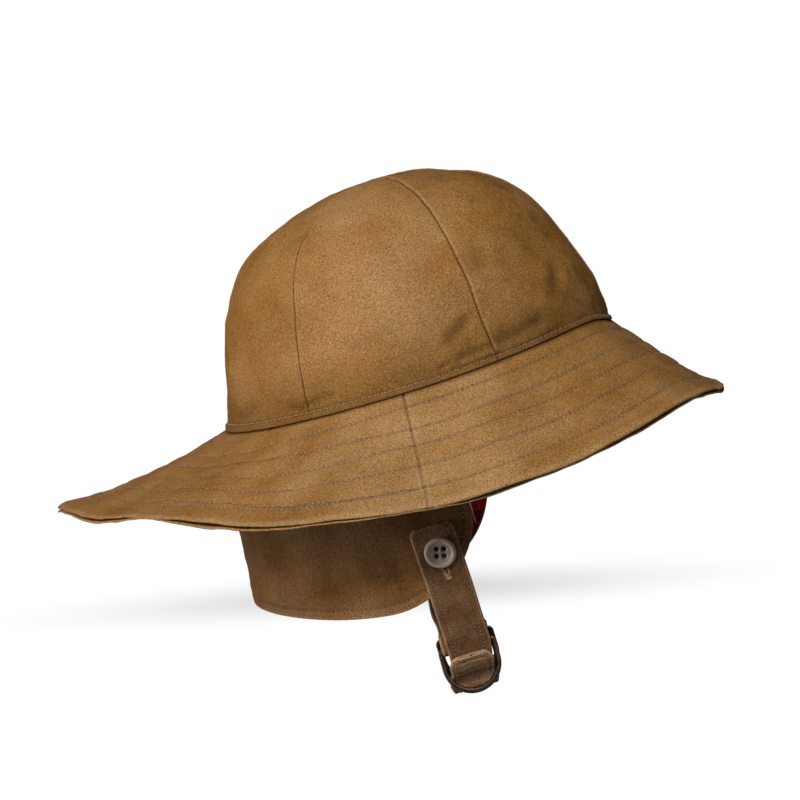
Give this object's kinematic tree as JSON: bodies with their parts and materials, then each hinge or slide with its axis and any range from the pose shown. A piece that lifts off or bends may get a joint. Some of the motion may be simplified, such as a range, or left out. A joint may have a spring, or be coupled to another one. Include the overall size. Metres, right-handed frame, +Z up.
{
  "type": "sou'wester rain hat with ear flap and chin strap",
  "caption": "Waxed cloth rain hat with a panelled crown, drooping brim longer behind, check-lined ear and neck flap, and a chin strap that buttons on and closes through D-rings.",
  "frame": {"origin": "centre of the head opening, level with the seam between crown and brim, where the hat sits on a head", "axes": "+X to the hat's front, +Y to the wearer's left, +Z up through the crown"},
  "size_m": [0.3458, 0.2701, 0.2594],
  "materials": {
    "crown_cloth": "tan brown waxed cotton, fine close weave, soft dry wax sheen with darker rubbed marks",
    "brim_cloth": "tan brown waxed cotton with rows of topstitching",
    "flap_cloth": "darker brown waxed cotton, creased, one row of topstitching along the hem",
    "check_lining": "brushed crimson and black check cloth",
    "strap_cloth": "brown waxed cotton, edge stitched",
    "ring_metal": "dark aged brass wire with worn highlights",
    "button_shell": "taupe brown satin, mottled like horn"
  },
  "bodies": {
    "root": {"crown_panel_1": "crown_cloth", "crown_panel_2": "crown_cloth", "crown_panel_3": "crown_cloth", "crown_panel_4": "crown_cloth", "crown_panel_5": "crown_cloth", "crown_panel_6": "crown_cloth", "brim_front_upper": "brim_cloth", "brim_front_under": "brim_cloth", "brim_back_upper": "brim_cloth", "brim_back_under": "brim_cloth", "ear_flap": "flap_cloth", "flap_lining": "check_lining", "chin_strap_buttoned": "strap_cloth", "chin_strap_sewn": "strap_cloth", "d_ring_back": "ring_metal", "d_ring_front": "ring_metal", "button": "button_shell"}
  },
  "joints": []
}
